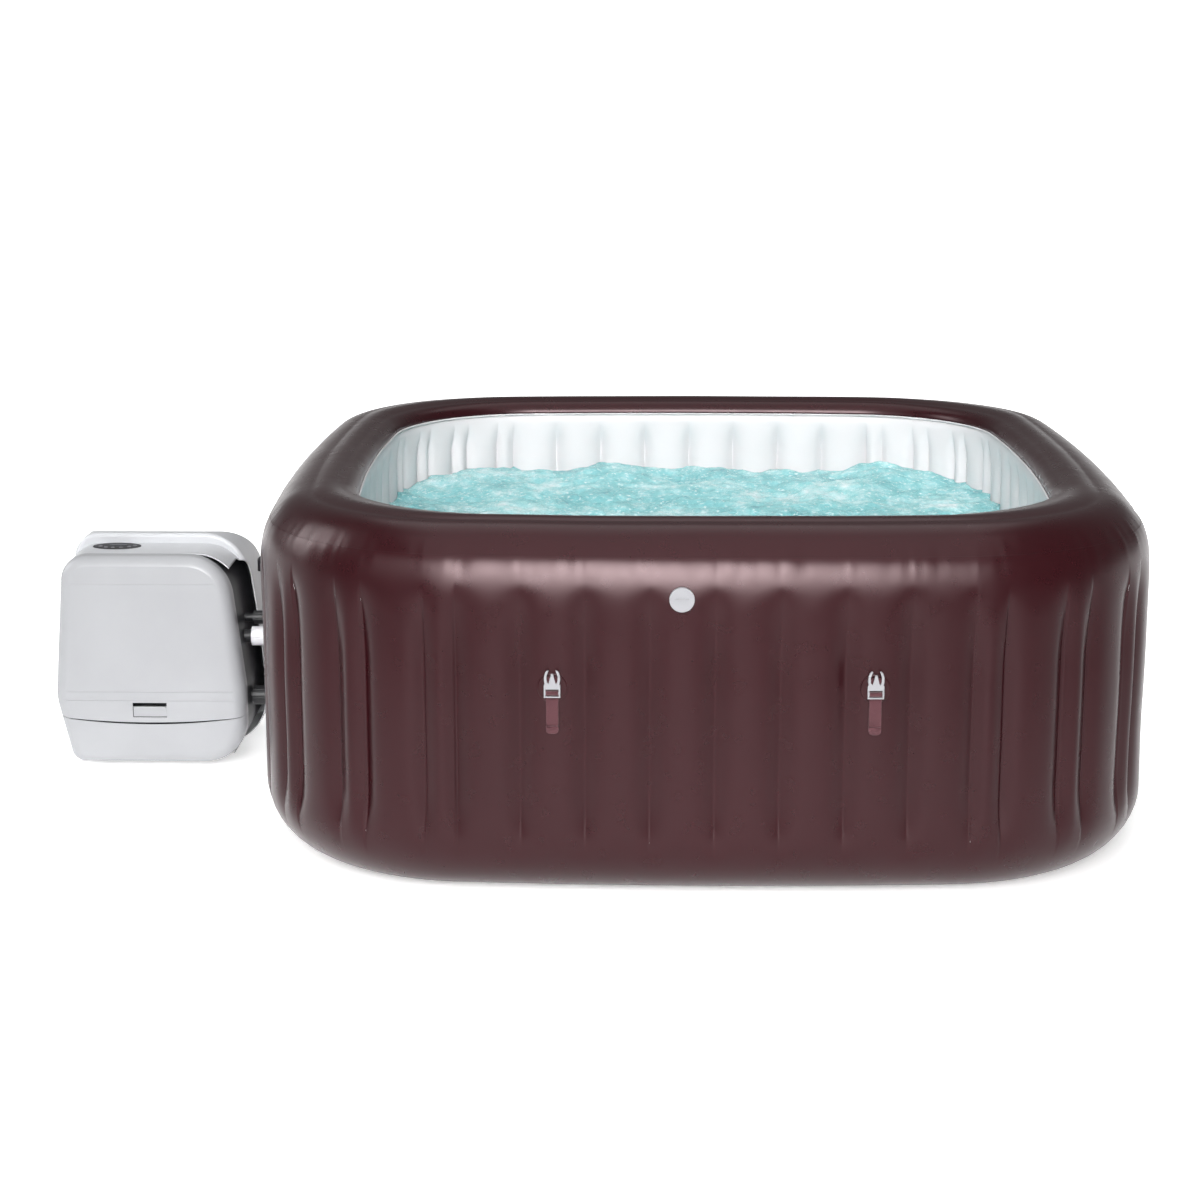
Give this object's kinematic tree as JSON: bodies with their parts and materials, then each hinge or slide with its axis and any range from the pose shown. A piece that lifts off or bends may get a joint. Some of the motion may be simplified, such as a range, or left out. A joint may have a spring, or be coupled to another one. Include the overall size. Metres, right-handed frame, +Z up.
{
  "type": "inflatable hot tub",
  "caption": "Square inflatable hot tub with rounded corners, ribbed walls, a white well, cover buckles, and a free-standing heater and pump unit joined by pipe unions.",
  "frame": {"origin": "centre of the tub's base on the ground", "axes": "+Z up, -Y the front wall with the air valve, -X the side with the pump unit"},
  "size_m": [2.5968, 2.0494, 0.8],
  "materials": {
    "maroon_pvc": "satin",
    "white_pvc": "satin",
    "web_fabric": "matte",
    "webbing": "matte",
    "white_plastic": "satin",
    "grey_plastic": "satin",
    "black_plastic": "satin",
    "seal_rubber": "matte",
    "filter_paper": "matte",
    "shell_plastic": "satin",
    "arch_plastic": "satin",
    "dark_plastic": "satin",
    "panel_plastic": "gloss",
    "lens": "gloss",
    "button_plastic": "satin",
    "buckle_plastic": "satin",
    "steel": "satin",
    "board": "satin"
  },
  "bodies": {
    "root": {"outer_wall": "maroon_pvc", "top_ring": "maroon_pvc", "base_ring": "maroon_pvc", "strap_patches": "maroon_pvc", "inner_wall": "white_pvc", "floor_sheet": "white_pvc", "wall_webs": "web_fabric", "cover_straps": "webbing", "air_valve_body": "buckle_plastic", "drain_valve_body": "buckle_plastic", "wall_fittings": "white_plastic", "fitting_nuts": "white_plastic", "union_gaskets": "seal_rubber", "wall_elbow": "black_plastic", "filter_housing": "grey_plastic", "filter_cartridge": "filter_paper", "return_grille": "grey_plastic", "jet_housings": "grey_plastic", "lower_front_shell": "shell_plastic", "pump_housing": "dark_plastic", "pump_feet": "seal_rubber", "back_shell": "arch_plastic", "control_panel": "panel_plastic", "display_lens": "lens", "circulation_pump": "black_plastic", "jet_pump": "black_plastic", "air_blower": "black_plastic", "heater_tube": "steel", "circuit_board": "board", "pump_pipes": "black_plastic", "cable_gland": "black_plastic", "shell_screws": "steel"},
    "cover_buckle_front_a": {"cover_buckle_front_a": "buckle_plastic"},
    "cover_buckle_front_b": {"cover_buckle_front_b": "buckle_plastic"},
    "cover_buckle_right_a": {"cover_buckle_right_a": "buckle_plastic"},
    "cover_buckle_right_b": {"cover_buckle_right_b": "buckle_plastic"},
    "cover_buckle_back_a": {"cover_buckle_back_a": "buckle_plastic"},
    "cover_buckle_back_b": {"cover_buckle_back_b": "buckle_plastic"},
    "cover_buckle_left_a": {"cover_buckle_left_a": "buckle_plastic"},
    "cover_buckle_left_b": {"cover_buckle_left_b": "buckle_plastic"},
    "jet_nozzle_front": {"jet_nozzle_front": "grey_plastic"},
    "jet_nozzle_right": {"jet_nozzle_right": "grey_plastic"},
    "jet_nozzle_back": {"jet_nozzle_back": "grey_plastic"},
    "jet_nozzle_left": {"jet_nozzle_left": "grey_plastic"},
    "button_1": {"button_1": "button_plastic"},
    "button_2": {"button_2": "button_plastic"},
    "button_3": {"button_3": "button_plastic"},
    "button_4": {"button_4": "button_plastic"},
    "button_5": {"button_5": "button_plastic"},
    "button_6": {"button_6": "button_plastic"},
    "air_valve_cap": {"air_valve_cap": "buckle_plastic"},
    "drain_cap": {"drain_cap": "buckle_plastic"},
    "upper_union_nut": {"upper_union_nut": "white_plastic"},
    "lower_union_nut": {"lower_union_nut": "black_plastic"},
    "air_union_nut": {"air_union_nut": "black_plastic"},
    "front_cover": {"front_cover": "shell_plastic"},
    "cover_latch": {"cover_latch": "shell_plastic"},
    "circulation_impeller": {"circulation_impeller": "grey_plastic"},
    "jet_impeller": {"jet_impeller": "grey_plastic"},
    "blower_fan": {"blower_fan": "grey_plastic"}
  },
  "joints": [
    {"name": "buckle_front_a_tilt", "type": "hinge", "parent": "root", "child": "cover_buckle_front_a", "pos_m": [-0.32, -1.00822, 0.462], "axis": [1, 0, 0], "range_deg": [0, 15]},
    {"name": "buckle_front_b_tilt", "type": "hinge", "parent": "root", "child": "cover_buckle_front_b", "pos_m": [0.341, -1.00822, 0.462], "axis": [1, 0, 0], "range_deg": [0, 15]},
    {"name": "jet_front_swivel", "type": "hinge", "parent": "root", "child": "jet_nozzle_front", "pos_m": [0, -0.792, 0.33], "axis": [0, 0, 1], "range_deg": [-15, 15]},
    {"name": "buckle_right_a_tilt", "type": "hinge", "parent": "root", "child": "cover_buckle_right_a", "pos_m": [1.00822, -0.32, 0.462], "axis": [0, 1, 0], "range_deg": [0, 15]},
    {"name": "buckle_right_b_tilt", "type": "hinge", "parent": "root", "child": "cover_buckle_right_b", "pos_m": [1.00822, 0.341, 0.462], "axis": [0, 1, 0], "range_deg": [0, 15]},
    {"name": "jet_right_swivel", "type": "hinge", "parent": "root", "child": "jet_nozzle_right", "pos_m": [0.792, 0, 0.33], "axis": [0, 0, 1], "range_deg": [-15, 15]},
    {"name": "buckle_back_a_tilt", "type": "hinge", "parent": "root", "child": "cover_buckle_back_a", "pos_m": [0.32, 1.00822, 0.462], "axis": [-1, 0, 0], "range_deg": [0, 15]},
    {"name": "buckle_back_b_tilt", "type": "hinge", "parent": "root", "child": "cover_buckle_back_b", "pos_m": [-0.341, 1.00822, 0.462], "axis": [-1, 0, 0], "range_deg": [0, 15]},
    {"name": "jet_back_swivel", "type": "hinge", "parent": "root", "child": "jet_nozzle_back", "pos_m": [0, 0.792, 0.33], "axis": [0, 0, 1], "range_deg": [-15, 15]},
    {"name": "buckle_left_a_tilt", "type": "hinge", "parent": "root", "child": "cover_buckle_left_a", "pos_m": [-1.00822, 0.32, 0.462], "axis": [0, -1, 0], "range_deg": [0, 15]},
    {"name": "buckle_left_b_tilt", "type": "hinge", "parent": "root", "child": "cover_buckle_left_b", "pos_m": [-1.00822, -0.341, 0.462], "axis": [0, -1, 0], "range_deg": [0, 15]},
    {"name": "jet_left_swivel", "type": "hinge", "parent": "root", "child": "jet_nozzle_left", "pos_m": [-0.792, 0, 0.33], "axis": [0, 0, 1], "range_deg": [-15, 15]},
    {"name": "air_cap_turn", "type": "hinge", "parent": "root", "child": "air_valve_cap", "pos_m": [-0.056, -1.01, 0.66], "axis": [0, 1, 0], "range_deg": [0, 180]},
    {"name": "drain_cap_turn", "type": "hinge", "parent": "root", "child": "drain_cap", "pos_m": [0.4, 1.01, 0.2], "axis": [0, 1, 0], "range_deg": [0, 180]},
    {"name": "upper_union_turn", "type": "hinge", "parent": "root", "child": "upper_union_nut", "pos_m": [-1.092, 0.075, 0.309], "axis": [1, 0, 0], "range_deg": [0, 180]},
    {"name": "lower_union_turn", "type": "hinge", "parent": "root", "child": "lower_union_nut", "pos_m": [-1.092, 0.075, 0.156], "axis": [1, 0, 0], "range_deg": [0, 180]},
    {"name": "air_union_turn", "type": "hinge", "parent": "root", "child": "air_union_nut", "pos_m": [-1.092, 0.112, 0.348], "axis": [1, 0, 0], "range_deg": [0, 180]},
    {"name": "front_cover_lift", "type": "hinge", "parent": "root", "child": "front_cover", "pos_m": [-1.348, -0.002, 0.535], "axis": [-1, 0, 0], "range_deg": [0, 70]},
    {"name": "cover_latch_pull", "type": "hinge", "parent": "front_cover", "child": "cover_latch", "pos_m": [-1.348, -0.0465, 0.1345], "axis": [1, 0, 0], "range_deg": [0, 25], "stiffness_Nm_per_rad": 0.02},
    {"name": "circulation_impeller_spin", "type": "hinge", "parent": "root", "child": "circulation_impeller", "pos_m": [-1.45, 0.107, 0.12], "axis": [0, 1, 0], "continuous": true},
    {"name": "jet_impeller_spin", "type": "hinge", "parent": "root", "child": "jet_impeller", "pos_m": [-1.265, 0.103, 0.13], "axis": [0, 1, 0], "continuous": true},
    {"name": "blower_fan_spin", "type": "hinge", "parent": "root", "child": "blower_fan", "pos_m": [-1.42, 0.14, 0.35], "axis": [0, 1, 0], "continuous": true},
    {"name": "button_1_press", "type": "slide", "parent": "root", "child": "button_1", "axis": [0, 0, -1], "range_m": [0, 0.001], "stiffness_N_per_m": 600},
    {"name": "button_2_press", "type": "slide", "parent": "root", "child": "button_2", "axis": [0, 0, -1], "range_m": [0, 0.001], "stiffness_N_per_m": 600},
    {"name": "button_3_press", "type": "slide", "parent": "root", "child": "button_3", "axis": [0, 0, -1], "range_m": [0, 0.001], "stiffness_N_per_m": 600},
    {"name": "button_4_press", "type": "slide", "parent": "root", "child": "button_4", "axis": [0, 0, -1], "range_m": [0, 0.001], "stiffness_N_per_m": 600},
    {"name": "button_5_press", "type": "slide", "parent": "root", "child": "button_5", "axis": [0, 0, -1], "range_m": [0, 0.001], "stiffness_N_per_m": 600},
    {"name": "button_6_press", "type": "slide", "parent": "root", "child": "button_6", "axis": [0, 0, -1], "range_m": [0, 0.001], "stiffness_N_per_m": 600}
  ]
}
